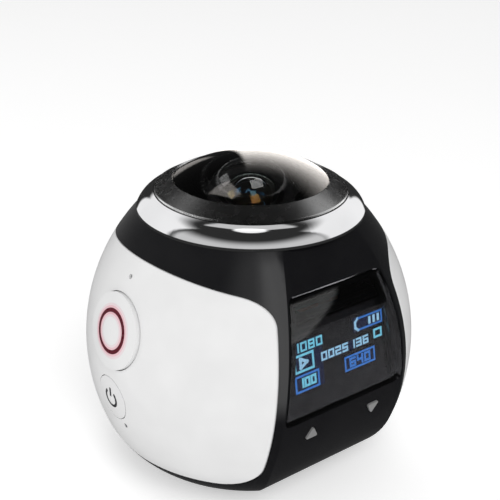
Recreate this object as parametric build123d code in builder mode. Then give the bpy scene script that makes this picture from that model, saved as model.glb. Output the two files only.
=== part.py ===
from build123d import *
from math import asin, cos, degrees, pi, sin, sqrt
import os

# 360 degree camera: a squarish ball with a fisheye lens on top, standing on a small flat base.
# Millimetres. +Z runs up through the lens, the display faces -Y, the shutter button faces -X,
# and the origin is on the table under the middle of the base.
# Sizes named rise or drop are measured up or down from the middle of the ball.

# Ball
body_radius = 30.0
shell_wall = 2.0
side_swell = 6.4
side_arc_radius = body_radius + side_swell
base_cut = 7.1
body_drop = body_radius - base_cut
shoulder_cut = 5.0
shoulder_rise = body_radius - shoulder_cut
base_corner_extra = 0.6
base_corner_radius = body_radius / 2 + base_corner_extra
face_cut = 3.2
facet_reach = body_radius - face_cut
facet_swell = 7.0
facet_radius = body_radius + facet_swell
facet_crest_rise = 1.5
chin_extra = 0.3
chin_radius = body_radius / 2 + chin_extra

# Clearances
fit_gap = 0.15
seat_gap = 0.05
run_gap = 0.05
overrun = 2.0
cover_block_root = 5.0

# White side covers
cover_wall = 1.6
cover_top_margin = 4.0
cover_top_rise = shoulder_rise - cover_top_margin
cover_bottom_margin = 7.1
cover_bottom_drop = body_drop - cover_bottom_margin
cover_front_margin = 0.85
cover_reach = facet_reach - cover_front_margin
cover_top_radius = 88.0
cover_side_radius = 35.8
cover_corner_radius = 7.5
cover_edge_round = 0.25
ledge_width = 1.8
ledge_lap = 1.0
ledge_depth = 1.5

# Display window and display
window_top_margin = 6.4
window_top_rise = shoulder_rise - window_top_margin
window_margin = 0.5
window_thickness = 1.2
window_corner = 1.2
window_ledge = 1.6
window_wall = 0.9
display_depth = 2.8
display_reach = facet_reach - display_depth
display_lean_degrees = 10.0
display_side_room = 5.26
display_width = body_radius - display_side_room
display_height = 15.0
display_top_margin = 5.4
display_top = window_top_rise - display_top_margin
display_bottom = display_height - display_top
display_bottom_margin = 0.5
window_bottom_drop = display_bottom + display_bottom_margin
display_thickness = 1.45
bracket_wall = 1.2
bracket_lip = 0.5

# Keys under the window
key_margin = 3.6
key_drop = window_bottom_drop + key_margin
key_spacing = 14.0
key_radius = 1.55
key_corner = 0.25
key_gap = 0.12
key_stand = 0.25
key_flange_radius = 2.0
key_flange_depth = 0.7
key_stem_radius = 0.8
key_stem_length = 0.5
key_travel = 0.3
key_board_width = 19.6
key_board_above = 1.6
key_board_below = 2.6
key_board_thickness = 0.8
key_switch_size = 3.0
key_switch_height = 1.6

# Side buttons
shutter_share = 0.22
shutter_radius = body_radius * shutter_share
shutter_margin = 5.2
shutter_rise = cover_top_rise - shutter_margin - shutter_radius
shutter_stand = 0.65
shutter_travel = 0.5
ring_inset = 2.7
ring_radius = shutter_radius - ring_inset
ring_width = 0.7
ring_depth = 0.9
power_step = 2.6
power_radius = shutter_radius - power_step
button_spacing = 2.1
power_drop = shutter_radius + power_radius + button_spacing - shutter_rise
power_stand = 0.1
power_travel = 0.4
shutter_crown_radius = 33.0
power_crown_radius = 25.0
button_flange_lap = 0.4
button_flange_depth = 0.8
nub_radius = 0.9

# Side board behind the buttons
wall_margin = 9.7
wall_reach = body_radius - wall_margin
wall_top_margin = 11.0
wall_top_rise = shoulder_rise - wall_top_margin
wall_thickness = 1.3
wall_width = 16.0
side_board_thickness = 0.8
side_board_reach = wall_reach + side_board_thickness
side_board_width = 14.0
side_board_top_margin = 1.0
side_board_top_rise = wall_top_rise - side_board_top_margin
side_switch_size = 6.0
side_switch_height = 2.25
plunger_radius = 1.5
plunger_length = 0.8

# Small holes in the left cover
mic_margin = 2.4
mic_rise = shutter_rise + shutter_radius + mic_margin
mic_hole_radius = 0.45
mic_radius = 1.5
mic_depth = 1.5
led_margin = 0.5
led_drop = power_drop + power_radius + led_margin
led_side = 2.9
led_radius = 0.4
led_inset = 1.2
led_reach = body_radius - led_inset
side_board_led_margin = 2.0
side_board_bottom_drop = led_drop + side_board_led_margin

# Lens
lens_radius = 13.6
lens_rim_lift = 5.3
lens_rim_rise = shoulder_rise + lens_rim_lift
lens_crown = 4.0
lens_centre_thickness = 1.5
lens_hollow_radius = 9.2
lens_seat_lift = 1.3
lens_seat_rise = shoulder_rise + lens_seat_lift
second_radius = 6.9
second_seat_sink = 2.2
second_seat_rise = shoulder_rise - second_seat_sink
second_edge = 1.5
second_crown_radius = 8.5
second_hollow_radius = 5.2
second_centre_thickness = 1.5
barrel_flange_radius = 14.6
barrel_neck_radius = 12.9
barrel_shoulder_drop = 2.7
barrel_cone_drop = 4.2
barrel_tube_radius = 7.4
barrel_bottom_sink = 13.2
barrel_bottom_rise = shoulder_rise - barrel_bottom_sink
barrel_bore_radius = 5.0
barrel_lip_radius = 4.2
barrel_lip_height = 2.0
rear_lens_length = 6.0
rear_lens_bulge = 0.8
lens_gap = 0.03
seal_radius = 12.5
seal_width = 0.9
seal_depth = 0.6

# Bezel and ring
bezel_radius = 17.0
bezel_wall_lift = 3.7
bezel_wall_rise = shoulder_rise + bezel_wall_lift
bezel_lip_width = 0.25
bezel_lip_radius = lens_radius + bezel_lip_width
bezel_lip_lift = 5.45
bezel_lip_rise = shoulder_rise + bezel_lip_lift
ring_outer_radius = 20.1
ring_rim_lift = 0.5
ring_rim_rise = shoulder_rise + ring_rim_lift
ring_inner_lift = 3.3
ring_inner_rise = shoulder_rise + ring_inner_lift
ring_bulge = 0.4

# Chassis and boards
floor_lift = 8.1
floor_drop = body_drop - floor_lift
floor_thickness = 1.2
floor_side_margin = 8.4
floor_radius = body_radius - floor_side_margin
floor_front_margin = 8.3
floor_depth = 2 * (facet_reach - floor_front_margin)
rib_thickness = 2.0
rib_inner = 10.0
rib_margin = 9.8
rib_back = facet_reach - rib_margin
board_drop = 2.7
board_thickness = 1.2
board_gap = 0.2
board_width = 2 * (wall_reach - wall_thickness - board_gap)
board_front_margin = 10.0
board_front = facet_reach - board_front_margin
board_back_margin = 7.3
board_back = facet_reach - board_back_margin
board_corner = 4.0
tongue_width = 18.0
tongue_margin = 3.6
tongue_reach = facet_reach - tongue_margin
post_radius = 1.8
post_side_margin = 3.2
post_x = board_width / 2 - post_side_margin
post_front_margin = 3.8
post_y = board_front - post_front_margin
screw_head_radius = 1.5
screw_head_height = 0.9
screw_shank_radius = 0.75
battery_side_margin = 16.0
battery_width = 2 * (body_radius - battery_side_margin)
battery_post_gap = 0.2
battery_depth = 2 * (post_y - post_radius - battery_post_gap)
battery_top_room = 2.1
battery_height = floor_drop - board_drop - battery_top_room
battery_corner = 2.5
standoff_extra = 7.0
standoff_spacing = post_y + standoff_extra
standoff_radius = 1.8
shield_room = 4.0
shield_size = standoff_spacing - shield_room
shield_height = 2.2
sensor_room = 3.0
sensor_board_rise = barrel_bottom_rise - sensor_room
sensor_board_edge = 4.0
sensor_board_size = standoff_spacing + sensor_board_edge
sensor_board_thickness = 1.0
sensor_width = 10.0
sensor_depth = 8.0
sensor_height = 1.2
filter_thickness = 0.3
mount_room = 2.0
mount_size = standoff_spacing - mount_room
mount_flange = 2.0
mount_tube_radius = 9.2
mount_height = 8.0
antenna_width = 14.0
antenna_height = 9.0
antenna_thickness = 0.8
flex_width = 8.0
flex_thickness = 0.2
flex_dip = 0.9
flex_landing = 2.0
flex_bend = 1.2
flex_lap = 2.5

# Base
foot_height = 0.3
base_depth_share = 0.56
base_plate_depth = body_radius * base_depth_share
base_width_extra = 7.0
base_plate_width = base_plate_depth + base_width_extra
base_plate_thickness = 1.2
base_plate_corner = 3.0
foot_margin = 0.5
foot_outer_radius = base_plate_depth / 2 - foot_margin
foot_width = 2.3
foot_inner_radius = foot_outer_radius - foot_width
foot_groove = 0.7
nut_radius = 4.6
nut_bore_radius = 2.6
nut_flange_radius = 5.6
nut_flange_height = 1.2
nut_height = 6.5
nut_recess = 0.2
boss_wall = 1.5
base_screw_side_margin = 2.1
base_screw_x = base_plate_width / 2 - base_screw_side_margin
base_screw_front_margin = 2.8
base_screw_y = base_plate_depth / 2 - base_screw_front_margin
base_screw_head = 1.3
base_screw_radius = 0.7
base_screw_length = 6.0
base_screw_angle = 90.0

# Port door and sockets
door_width = 19.0
door_top_rise = 3.6
door_bottom_drop = 6.0
door_thickness = 1.4
hinge_barrel_radius = 1.0
pin_radius = 0.5
pin_end = 1.1
pin_gap = 0.03
hinge_gap = 0.25
pad_wall = 3.4
pad_margin = 1.0
port_width = 16.8
port_top_rise = 1.7
port_bottom_drop = 4.7
notch_width = 7.0
notch_depth = 0.6
usb_width = 7.5
usb_height = 2.8
usb_length = 5.6
usb_x = -4.2
hdmi_width = 6.4
hdmi_height = 2.9
hdmi_length = 7.5
hdmi_x = 4.2
card_width = 14.0
card_height = 1.6
card_length = 15.0
socket_wall = 0.3
socket_mouth = 3.0
socket_margin = 2.6
socket_reach = facet_reach - socket_margin

# Speaker
speaker_lift = 11.4
speaker_drop = body_drop - speaker_lift
speaker_radius = 4.2
speaker_depth = 2.3
speaker_seat = 0.9
speaker_seat_width = 1.0
speaker_hole_radius = 0.5
speaker_hole_circle = 2.4

# Heights worked out from the driving sizes
centre_height = foot_height + body_drop
roof_height = centre_height + shoulder_rise
floor_height = centre_height - floor_drop
board_height = centre_height - board_drop
board_top = board_height + board_thickness
sensor_board_height = centre_height + sensor_board_rise
sensor_board_top = sensor_board_height + sensor_board_thickness
lens_seat_height = centre_height + lens_seat_rise
lens_rim_height = centre_height + lens_rim_rise
lens_top = lens_rim_height + lens_crown
front, back = -1, 1
left, right = -1, 1


# Outer forms


def round_radius(rise, inset=0.0):
    """Radius of the ball's side, at a height over its middle."""
    return body_radius - side_arc_radius + sqrt((side_arc_radius - inset) ** 2 - rise**2)


def facet_distance(rise, inset=0.0):
    """Distance of the front or back face from the middle plane, at a height over the middle."""
    return facet_reach - facet_radius + sqrt((facet_radius - inset) ** 2 - (rise - facet_crest_rise) ** 2)


def arc_middle(centre_x, centre_y, radius, start, end):
    """Point halfway along an arc, from its centre and its two end angles in radians."""
    angle = (start + end) / 2
    return (centre_x + radius * cos(angle), centre_y + radius * sin(angle))


def round_form(inset):
    """Ball turned about the lens axis: flat base, rounded corner, side arc and flat shoulder."""
    side_x = body_radius - side_arc_radius
    corner_rise = base_corner_radius - body_drop
    corner_angle = asin(corner_rise / (side_arc_radius - base_corner_radius))
    corner_x = side_x + (side_arc_radius - base_corner_radius) * cos(corner_angle)
    corner_z = foot_height + base_corner_radius
    side_radius = side_arc_radius - inset
    corner_radius = base_corner_radius - inset
    top_rise = shoulder_rise - inset
    top_angle = asin(top_rise / side_radius)
    join = (corner_x + corner_radius * cos(corner_angle), corner_z + corner_radius * sin(corner_angle))
    corner_middle = arc_middle(corner_x, corner_z, corner_radius, -pi / 2, corner_angle)
    side_middle = arc_middle(side_x, centre_height, side_radius, corner_angle, top_angle)
    top = (side_x + side_radius * cos(top_angle), centre_height + top_rise)
    with BuildPart() as form:
        with BuildSketch(Plane.XZ):
            with BuildLine():
                Line((0, foot_height + inset), (corner_x, foot_height + inset))
                ThreePointArc((corner_x, foot_height + inset), corner_middle, join)
                ThreePointArc(join, side_middle, top)
                Polyline(top, (0, top[1]), (0, foot_height + inset))
            make_face()
        revolve(axis=Axis.Z)
    return form.part


def facet_form(inset):
    """Block between the front and back faces, curved in height and straight from side to side."""
    face_y = facet_radius - facet_reach
    crest_z = centre_height + facet_crest_rise
    chin_z = foot_height + chin_radius
    chin_angle = asin((crest_z - chin_z) / (facet_radius - chin_radius))
    chin_y = (facet_radius - chin_radius) * cos(chin_angle) - face_y
    face_r = facet_radius - inset
    chin_r = chin_radius - inset
    top_z = roof_height - inset
    top_angle = asin((top_z - crest_z) / face_r)
    low = (chin_y, foot_height + inset)
    join = (chin_y + chin_r * cos(chin_angle), chin_z - chin_r * sin(chin_angle))
    top = (face_r * cos(top_angle) - face_y, top_z)
    chin_middle = arc_middle(chin_y, chin_z, chin_r, -pi / 2, -chin_angle)
    face_middle = arc_middle(-face_y, crest_z, face_r, -chin_angle, top_angle)
    with BuildPart() as form:
        with BuildSketch(Plane.YZ):
            with BuildLine():
                Line((0, low[1]), low)
                ThreePointArc(low, chin_middle, join)
                ThreePointArc(join, face_middle, top)
                Polyline(top, (0, top_z), (0, low[1]))
            make_face()
            mirror(about=Plane.YZ)
        extrude(amount=body_radius + overrun, both=True)
    return form.part


def ball_form(inset):
    """Ball with its front and back flattened, drawn inset from the outer surface."""
    with BuildPart() as form:
        add(round_form(inset))
        add(facet_form(inset), mode=Mode.INTERSECT)
    return form.part


def cover_block(side, grow):
    """Outline of a side cover, grown or shrunk, run out sideways past the ball."""
    root = cover_block_root
    height = cover_top_rise + cover_bottom_drop
    middle = centre_height + (cover_top_rise - cover_bottom_drop) / 2
    side_z = centre_height + facet_crest_rise
    with BuildPart() as block:
        with BuildSketch(Plane.YZ.offset(side * root)) as outline:
            with Locations((0, middle)):
                Rectangle(2 * cover_reach, height)
            with Locations((0, centre_height + cover_top_rise - cover_top_radius)):
                Circle(cover_top_radius, mode=Mode.INTERSECT)
            with Locations((cover_side_radius - cover_reach, side_z)):
                Circle(cover_side_radius, mode=Mode.INTERSECT)
            with Locations((cover_reach - cover_side_radius, side_z)):
                Circle(cover_side_radius, mode=Mode.INTERSECT)
            fillet(outline.vertices(), radius=cover_corner_radius)
            if grow:
                offset(amount=grow)
        extrude(amount=side * (body_radius + overrun - root))
    return block.part


def window_half_width(rise):
    """Half the window's width: it stops short of the crease between the face and the ball."""
    crease = sqrt(round_radius(rise) ** 2 - facet_distance(rise) ** 2)
    return crease - window_margin


def window_block(grow):
    """Outline of the display window, run out forwards past the ball."""
    top = centre_height + window_top_rise
    bottom = centre_height - window_bottom_drop
    middle_rise = (window_top_rise - window_bottom_drop) / 2
    top_x = window_half_width(window_top_rise)
    middle_x = window_half_width(middle_rise)
    bottom_x = window_half_width(-window_bottom_drop)
    middle = centre_height + middle_rise
    with BuildPart() as block:
        with BuildSketch(Plane.XZ.offset(body_radius / 2)) as outline:
            with BuildLine():
                Line((-bottom_x, bottom), (bottom_x, bottom))
                ThreePointArc((bottom_x, bottom), (middle_x, middle), (top_x, top))
                Line((top_x, top), (-top_x, top))
                ThreePointArc((-top_x, top), (-middle_x, middle), (-bottom_x, bottom))
            make_face()
            fillet(outline.vertices(), radius=window_corner)
            if grow:
                offset(amount=grow)
        extrude(amount=body_radius / 2 + overrun)
    return block.part


def side_normal(rise):
    """Outward direction of the left side at a height over the middle."""
    slope = asin(rise / side_arc_radius)
    return Vector(-cos(slope), 0, sin(slope))


def side_plane(rise):
    """Plane on the left side, Z outwards and Y up the side."""
    origin = Vector(-round_radius(rise), 0, centre_height + rise)
    return Plane(origin=origin, x_dir=(0, -1, 0), z_dir=side_normal(rise))


def side_profile_plane(rise):
    """Plane through a side button's axis: X up the side from the axis, Y outwards along it."""
    plane = side_plane(rise)
    return Plane(origin=plane.origin, x_dir=plane.y_dir, z_dir=(0, -1, 0))


def facet_plane(face, rise):
    """Plane on the front or back face, Z outwards and Y up the face."""
    slope = asin((rise - facet_crest_rise) / facet_radius)
    origin = Vector(0, face * facet_distance(rise), centre_height + rise)
    return Plane(origin=origin, x_dir=(-face, 0, 0), z_dir=(0, face * cos(slope), sin(slope)))


def display_frame():
    """Plane of the display's face, leaning back, Z outwards and Y up the display."""
    lean = display_lean_degrees * pi / 180
    origin = Vector(0, -display_reach, centre_height)
    return Plane(origin=origin, x_dir=(1, 0, 0), z_dir=(0, -cos(lean), sin(lean)))


outer_ball = ball_form(0)
inner_ball = ball_form(shell_wall)
outer_round = round_form(0)
cover_inside = round_form(cover_wall)
slot_inside = round_form(cover_wall + seat_gap)
ledge_outside = ball_form(cover_wall + seat_gap)
ledge_inside = round_form(cover_wall + seat_gap + ledge_depth)
window_back = facet_form(window_thickness)
window_wall_block = window_block(window_wall)
window_relief_block = window_block(window_wall + fit_gap)
recess_back = facet_form(window_thickness + seat_gap)
display_plane = display_frame()
key_plane = facet_plane(front, -key_drop)
speaker_plane = facet_plane(back, -speaker_drop)


# Side covers and their ledges


def cover_ledge(side):
    """Rim inside the shell that a side cover rests on, clear of the display behind the window."""
    with BuildPart() as rim:
        add(cover_block(side, ledge_lap))
        add(cover_block(side, -ledge_width), mode=Mode.SUBTRACT)
        add(ledge_outside, mode=Mode.INTERSECT)
        add(ledge_inside, mode=Mode.SUBTRACT)
        add(window_wall_block, mode=Mode.SUBTRACT)
    return rim.part


def cover_slot(side):
    """Space that a side cover needs in the shell, less the wall beside the window."""
    with BuildPart() as slot:
        add(cover_block(side, fit_gap))
        add(slot_inside, mode=Mode.SUBTRACT)
        add(window_wall_block, mode=Mode.SUBTRACT)
    return slot.part


def cover_shell(side):
    """Side cover: a dished shell of even wall with a rounded outer edge."""
    with BuildPart() as shell:
        add(cover_block(side, 0))
        add(outer_round, mode=Mode.INTERSECT)
        add(cover_inside, mode=Mode.SUBTRACT)
        add(window_relief_block, mode=Mode.SUBTRACT)
        skin = shell.faces().sort_by(Axis.X)[0 if side == left else -1]
        fillet(skin.edges(), radius=cover_edge_round)
    return shell.part


left_shell = cover_shell(left)
right_shell = cover_shell(right)

with BuildPart() as left_cover:
    add(left_shell)
    with BuildSketch(side_plane(shutter_rise)):
        Circle(shutter_radius + fit_gap)
    extrude(amount=body_radius / 2, both=True, mode=Mode.SUBTRACT)
    with BuildSketch(side_plane(-power_drop)):
        Circle(power_radius + fit_gap)
    extrude(amount=body_radius / 2, both=True, mode=Mode.SUBTRACT)
    with BuildSketch(side_plane(mic_rise)):
        Circle(mic_hole_radius)
    extrude(amount=body_radius / 2, both=True, mode=Mode.SUBTRACT)
    with BuildSketch(Plane.YZ.offset(-body_radius / 2)):
        with Locations((-led_side, centre_height - led_drop)):
            Circle(led_radius + run_gap)
    extrude(amount=-body_radius, mode=Mode.SUBTRACT)

with BuildPart() as right_cover:
    add(right_shell)


# Centre housing


base_top = foot_height + shell_wall
base_plate_top = foot_height + base_plate_thickness
boss_radius = nut_radius + run_gap + boss_wall
door_top = centre_height + door_top_rise
door_bottom = centre_height - door_bottom_drop
hinge_z = door_bottom + hinge_barrel_radius
door_height = door_top - door_bottom
hinge_y = facet_distance(hinge_z - centre_height) - hinge_barrel_radius
pad_face = facet_reach - pad_wall
port_top = centre_height + port_top_rise
port_bottom = centre_height - port_bottom_drop


def door_block(grow):
    """Outline of the port door, run out backwards past the ball."""
    low = hinge_z - hinge_barrel_radius - grow
    high = door_top + grow
    with BuildPart() as block:
        with BuildSketch(Plane.XZ.offset(-body_radius / 2)):
            with Locations((0, (low + high) / 2)):
                Rectangle(door_width + 2 * grow, high - low)
        extrude(amount=-body_radius / 2 - overrun)
    return block.part


door_recess_back = facet_form(door_thickness + seat_gap)

with BuildPart() as door_recess:
    add(door_block(hinge_gap))
    add(door_recess_back, mode=Mode.SUBTRACT)
    with BuildSketch(Plane.YZ):
        with Locations((hinge_y, hinge_z)):
            Circle(hinge_barrel_radius + hinge_gap)
    extrude(amount=door_width / 2 + hinge_gap, both=True)

window_recess_outline = window_block(fit_gap)
with BuildPart() as window_recess:
    add(window_recess_outline)
    add(recess_back, mode=Mode.SUBTRACT)

ledges = [cover_ledge(left), cover_ledge(right)]
slots = [cover_slot(left), cover_slot(right)]
side_openings = [cover_block(left, -ledge_width), cover_block(right, -ledge_width)]
window_opening = window_block(-window_ledge)


def key_outline(face_up, grow):
    """Triangle of one key with rounded corners, drawn into the sketch that is open."""
    with BuildSketch(Plane.XY) as outline:
        RegularPolygon(radius=key_radius, side_count=3, rotation=90 if face_up else -90)
        fillet(outline.vertices(), radius=key_corner)
        if grow:
            offset(amount=grow)
    return outline.sketch


up_hole = key_outline(True, key_gap)
down_hole = key_outline(False, key_gap)
up_face = key_outline(True, 0)
down_face = key_outline(False, 0)

with BuildPart() as centre_housing:
    add(outer_ball)
    add(inner_ball, mode=Mode.SUBTRACT)
    add(ledges)
    add(slots, mode=Mode.SUBTRACT)
    add(side_openings, mode=Mode.SUBTRACT)
    # Thick pad behind the door and the seat of the speaker
    with BuildSketch(Plane.XZ.offset(-pad_face)):
        with Locations((0, (door_top + hinge_z - hinge_barrel_radius) / 2)):
            Rectangle(door_width + 3 * pad_margin, door_height + 3 * pad_margin)
    extrude(amount=-pad_wall / 2)
    with BuildSketch(speaker_plane.offset(-shell_wall - speaker_seat)):
        Circle(speaker_radius)
        Circle(speaker_radius - speaker_seat_width, mode=Mode.SUBTRACT)
    extrude(amount=shell_wall / 2 + speaker_seat)
    # Display window and keys
    add(window_recess.part, mode=Mode.SUBTRACT)
    add(window_opening, mode=Mode.SUBTRACT)
    with BuildSketch(key_plane):
        with Locations((-key_spacing / 2, 0)):
            add(up_hole)
        with Locations((key_spacing / 2, 0)):
            add(down_hole)
    extrude(amount=2 * shell_wall, both=True, mode=Mode.SUBTRACT)
    # Port door recess, its hinge pin and the opening of the sockets
    add(door_recess.part, mode=Mode.SUBTRACT)
    with BuildSketch(Plane.YZ):
        with Locations((hinge_y, hinge_z)):
            Circle(pin_radius + pin_gap)
    extrude(amount=door_width / 2 + hinge_gap + pin_end, both=True, mode=Mode.SUBTRACT)
    with BuildSketch(Plane.XZ.offset(-body_radius / 2)):
        with Locations((0, (port_top + port_bottom) / 2)):
            Rectangle(port_width, port_top - port_bottom)
    extrude(amount=-body_radius, mode=Mode.SUBTRACT)
    # Speaker holes
    with BuildSketch(speaker_plane):
        Circle(speaker_hole_radius)
        with PolarLocations(speaker_hole_circle, 6):
            Circle(speaker_hole_radius)
    extrude(amount=-2 * shell_wall, mode=Mode.SUBTRACT)
    # Lens hole in the roof, base plate rebate, boss hole and screw holes
    with BuildSketch(Plane.XY.offset(roof_height)):
        Circle(barrel_neck_radius + fit_gap)
    extrude(amount=-2 * shell_wall, mode=Mode.SUBTRACT)
    with BuildSketch(Plane.XY.offset(foot_height)):
        RectangleRounded(
            base_plate_width + 2 * fit_gap,
            base_plate_depth + 2 * fit_gap,
            base_plate_corner + fit_gap,
        )
    extrude(amount=base_plate_thickness, mode=Mode.SUBTRACT)
    with BuildSketch(Plane.XY.offset(foot_height)):
        Circle(boss_radius + fit_gap)
        with GridLocations(2 * base_screw_x, 2 * base_screw_y, 2, 2):
            Circle(base_screw_radius + fit_gap)
    extrude(amount=shell_wall, mode=Mode.SUBTRACT)


# Base


with BuildPart() as base_plate:
    with BuildSketch(Plane.XY.offset(foot_height)):
        RectangleRounded(base_plate_width, base_plate_depth, base_plate_corner)
        Circle(nut_radius + fit_gap, mode=Mode.SUBTRACT)
    extrude(amount=base_plate_thickness)
    with BuildSketch(Plane.XY.offset(foot_height)):
        Circle(foot_outer_radius)
        Circle(foot_inner_radius, mode=Mode.SUBTRACT)
    extrude(amount=foot_groove, mode=Mode.SUBTRACT)
    with Locations(Plane(origin=(0, 0, foot_height), z_dir=(0, 0, -1))):
        with GridLocations(2 * base_screw_x, 2 * base_screw_y, 2, 2):
            CounterSinkHole(
                base_screw_radius + fit_gap,
                base_screw_head + run_gap,
                base_plate_thickness,
                counter_sink_angle=base_screw_angle,
            )

with BuildPart() as foot_ring:
    with BuildSketch():
        Circle(foot_outer_radius - seat_gap)
        Circle(foot_inner_radius + seat_gap, mode=Mode.SUBTRACT)
    extrude(amount=foot_height + foot_groove)
    fillet(foot_ring.edges().group_by(Axis.Z)[0], radius=foot_height / 2)

nut_bottom = foot_height + nut_recess
with BuildPart() as tripod_nut:
    with BuildSketch(Plane.XY.offset(nut_bottom)):
        Circle(nut_radius)
    extrude(amount=nut_height)
    with BuildSketch(Plane.XY.offset(base_plate_top)):
        Circle(nut_flange_radius)
    extrude(amount=nut_flange_height)
    with BuildSketch(Plane.XY.offset(nut_bottom)):
        Circle(nut_bore_radius)
    extrude(amount=nut_height, mode=Mode.SUBTRACT)

screw_head_depth = base_screw_head - base_screw_radius
with BuildPart() as base_screws:
    with BuildSketch(Plane.XZ):
        with BuildLine():
            Polyline(
                (0, foot_height + run_gap),
                (base_screw_head - run_gap, foot_height + run_gap),
                (base_screw_radius, foot_height + run_gap + screw_head_depth),
                (base_screw_radius, foot_height + base_screw_length),
                (0, foot_height + base_screw_length),
                close=True,
            )
        make_face()
    revolve(axis=Axis.Z)
    one_screw = base_screws.part
    with GridLocations(2 * base_screw_x, 2 * base_screw_y, 2, 2):
        add(one_screw, mode=Mode.REPLACE)


# Chassis


def yz_point(plane, along, out):
    """Y and Z of a point of a plane that faces along Y."""
    point = plane.from_local_coords(Vector(0, along, out))
    return (point.Y, point.Z)


nut_top = nut_bottom + nut_height
bracket_back = -(display_thickness + seat_gap + bracket_wall)
bracket_low = -display_bottom + bracket_wall
bracket_high = display_top + bracket_lip + seat_gap
key_flange_top = -(shell_wall + key_gap)
key_stem_end = key_flange_top - key_flange_depth - key_stem_length
key_board_face = key_stem_end - key_travel - run_gap - key_switch_height
key_board_back = key_board_face - key_board_thickness

with BuildPart() as inner_frame:
    with BuildSketch(Plane.XY.offset(floor_height - floor_thickness)):
        Circle(floor_radius)
        Rectangle(2 * floor_radius, floor_depth, mode=Mode.INTERSECT)
    extrude(amount=floor_thickness)
    # Posts of the main board and the screw posts of the base
    with BuildSketch(Plane.XY.offset(floor_height)):
        with GridLocations(2 * post_x, 2 * post_y, 2, 2):
            Circle(post_radius)
    extrude(amount=board_height - floor_height)
    with BuildSketch(Plane.XY.offset(base_top)):
        with GridLocations(2 * base_screw_x, 2 * base_screw_y, 2, 2):
            Circle(post_radius)
    extrude(amount=floor_height - floor_thickness - base_top)
    # Boss that holds the tripod nut
    with BuildSketch(Plane.XY.offset(base_plate_top)):
        Circle(boss_radius)
    extrude(amount=floor_height - floor_thickness - base_plate_top)
    with BuildSketch(Plane.XY.offset(base_plate_top)):
        Circle(nut_radius + run_gap)
    extrude(amount=nut_top - base_plate_top, mode=Mode.SUBTRACT)
    with BuildSketch(Plane.XY.offset(base_plate_top)):
        Circle(nut_flange_radius + run_gap)
    extrude(amount=nut_flange_height + run_gap, mode=Mode.SUBTRACT)
    # Ribs behind the display bracket and the key board
    with BuildSketch(Plane.YZ.offset(rib_inner)):
        with BuildLine():
            Polyline(
                (-rib_back, floor_height - floor_thickness / 2),
                yz_point(key_plane, -key_board_below, key_board_back),
                yz_point(key_plane, key_board_above, key_board_back),
                yz_point(display_plane, bracket_low, bracket_back),
                yz_point(display_plane, bracket_high, bracket_back),
                (-rib_back, yz_point(display_plane, bracket_high, bracket_back)[1]),
                close=True,
            )
        make_face()
    extrude(amount=rib_thickness)
    mirror(about=Plane.YZ)
    # Side walls that carry the side board and the antenna
    for side in (left, right):
        with BuildSketch(Plane.XY.offset(floor_height - floor_thickness / 2)):
            with Locations((side * (wall_reach - wall_thickness / 2), 0)):
                Rectangle(wall_thickness, wall_width)
        extrude(amount=centre_height + wall_top_rise - floor_height + floor_thickness / 2)
    with GridLocations(2 * base_screw_x, 2 * base_screw_y, 2, 2):
        with Locations((0, 0, base_top)):
            Cylinder(
                base_screw_radius,
                base_screw_length + foot_height - base_top,
                align=(Align.CENTER, Align.CENTER, Align.MIN),
                mode=Mode.SUBTRACT,
            )
    with GridLocations(2 * post_x, 2 * post_y, 2, 2):
        with Locations((0, 0, board_height)):
            Cylinder(
                screw_shank_radius,
                2 * screw_shank_radius,
                align=(Align.CENTER, Align.CENTER, Align.MAX),
                mode=Mode.SUBTRACT,
            )

with BuildPart() as battery:
    with BuildSketch(Plane.XY.offset(floor_height)):
        Rectangle(battery_width, battery_depth)
    extrude(amount=battery_height)
    fillet(battery.edges().filter_by(Axis.X), radius=battery_corner)


# Main board and what stands on it


with BuildPart() as main_board:
    with BuildSketch(Plane.XY.offset(board_height)):
        with Locations((0, (board_back - board_front) / 2)):
            RectangleRounded(board_width, board_back + board_front, board_corner)
        with Locations((0, tongue_reach / 2)):
            Rectangle(tongue_width, tongue_reach)
        with GridLocations(2 * post_x, 2 * post_y, 2, 2):
            Circle(screw_shank_radius + fit_gap, mode=Mode.SUBTRACT)
    extrude(amount=board_thickness)

with BuildPart() as board_screws:
    with BuildSketch(Plane.XY.offset(board_top)):
        with GridLocations(2 * post_x, 2 * post_y, 2, 2):
            Circle(screw_head_radius)
    extrude(amount=screw_head_height)
    with BuildSketch(Plane.XY.offset(board_top)):
        with GridLocations(2 * post_x, 2 * post_y, 2, 2):
            Circle(screw_shank_radius - lens_gap)
    extrude(amount=-board_thickness - screw_shank_radius)
    with BuildSketch(Plane.XY.offset(sensor_board_top)):
        with GridLocations(standoff_spacing, standoff_spacing, 2, 2):
            Circle(screw_head_radius)
    extrude(amount=screw_head_height)

with BuildPart() as processor_shield:
    with BuildSketch(Plane.XY.offset(board_top)):
        Rectangle(shield_size, shield_size)
    extrude(amount=shield_height)
    fillet(processor_shield.edges().group_by(Axis.Z)[-1], radius=shield_height / 6)

with BuildPart() as standoffs:
    with BuildSketch(Plane.XY.offset(board_top)):
        with GridLocations(standoff_spacing, standoff_spacing, 2, 2):
            RegularPolygon(radius=standoff_radius, side_count=6)
    extrude(amount=sensor_board_height - board_top)

with BuildPart() as sensor_board:
    with BuildSketch(Plane.XY.offset(sensor_board_height)):
        RectangleRounded(sensor_board_size, sensor_board_size, board_corner / 2)
    extrude(amount=sensor_board_thickness)

with BuildPart() as image_sensor:
    with BuildSketch(Plane.XY.offset(sensor_board_top)):
        Rectangle(sensor_width, sensor_depth)
    extrude(amount=sensor_height)

with BuildPart() as ir_filter:
    with BuildSketch(Plane.XY.offset(sensor_board_top + sensor_height)):
        Rectangle(sensor_width, sensor_depth)
    extrude(amount=filter_thickness)

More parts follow.
